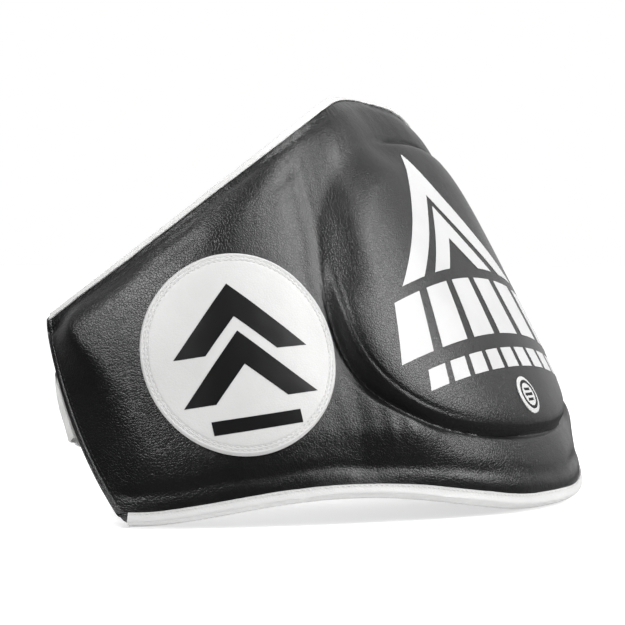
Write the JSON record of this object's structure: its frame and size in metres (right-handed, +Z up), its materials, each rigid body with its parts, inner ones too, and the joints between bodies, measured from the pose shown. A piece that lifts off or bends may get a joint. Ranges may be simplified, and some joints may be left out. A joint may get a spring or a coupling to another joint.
{
  "type": "belly protector pad",
  "caption": "Padded leather body shield with a domed front, two folding side wings with round discs, bound edges and a hook-and-loop back strap.",
  "frame": {"origin": "centre of the bounding box at the bottom, on the surface the pad stands on", "axes": "+Z up, -Y towards the front of the dome, -X towards the wearer's right wing, which carries the strap"},
  "size_m": [0.5638, 0.2972, 0.3161],
  "materials": {
    "leather_black": "satin",
    "foam_firm": "matte",
    "foam_medium": "matte",
    "foam_soft": "matte",
    "lining_black": "matte",
    "binding_white": "satin",
    "disc_white": "satin",
    "print_white": "satin",
    "print_black": "satin",
    "badge_grey": "satin",
    "thread": "matte",
    "hook_and_loop": "matte",
    "webbing_white": "matte"
  },
  "bodies": {
    "core": {"front_cover": "leather_black", "dome_foam_outer": "foam_firm", "dome_foam_middle": "foam_medium", "front_foam_inner": "foam_soft", "front_lining": "lining_black", "front_top_binding": "binding_white", "front_bottom_binding": "binding_white", "front_emblem": "print_white", "front_badge": "badge_grey"},
    "wing_right": {"right_wing_cover": "leather_black", "right_wing_foam_firm": "foam_firm", "right_wing_foam_soft": "foam_soft", "right_wing_lining": "lining_black", "right_wing_top_binding": "binding_white", "right_wing_bottom_binding": "binding_white", "right_wing_end_hem": "leather_black", "right_disc": "disc_white", "right_disc_emblem": "print_black", "right_disc_stitching": "thread", "strap_anchor": "webbing_white", "strap_anchor_stitching": "thread"},
    "wing_left": {"left_wing_cover": "leather_black", "left_wing_foam_firm": "foam_firm", "left_wing_foam_soft": "foam_soft", "left_wing_lining": "lining_black", "left_wing_top_binding": "binding_white", "left_wing_bottom_binding": "binding_white", "left_wing_end_hem": "leather_black", "left_disc": "disc_white", "left_disc_emblem": "print_black", "left_disc_stitching": "thread", "loop_panel": "hook_and_loop", "loop_panel_stitching": "thread"},
    "strap": {"strap_webbing": "webbing_white", "strap_hook_panel": "hook_and_loop", "strap_end_tab": "leather_black", "strap_stitching": "thread"}
  },
  "joints": [
    {"name": "right_wing_fold", "type": "hinge", "parent": "core", "child": "wing_right", "pos_m": [-0.18361, -0.08539, 0.00731], "axis": [-0.2686, -0.3432, -0.9], "range_deg": [-20, 20], "stiffness_Nm_per_rad": 6},
    {"name": "left_wing_fold", "type": "hinge", "parent": "core", "child": "wing_left", "pos_m": [0.18361, -0.08539, 0.00731], "axis": [-0.2686, 0.3432, 0.9], "range_deg": [-20, 20], "stiffness_Nm_per_rad": 6},
    {"name": "strap_fold", "type": "hinge", "parent": "wing_right", "child": "strap", "pos_m": [-0.24591, 0.12524, 0.08205], "axis": [0.2991, 0.5111, 0.8058], "range_deg": [-20, 100], "stiffness_Nm_per_rad": 0.25}
  ]
}
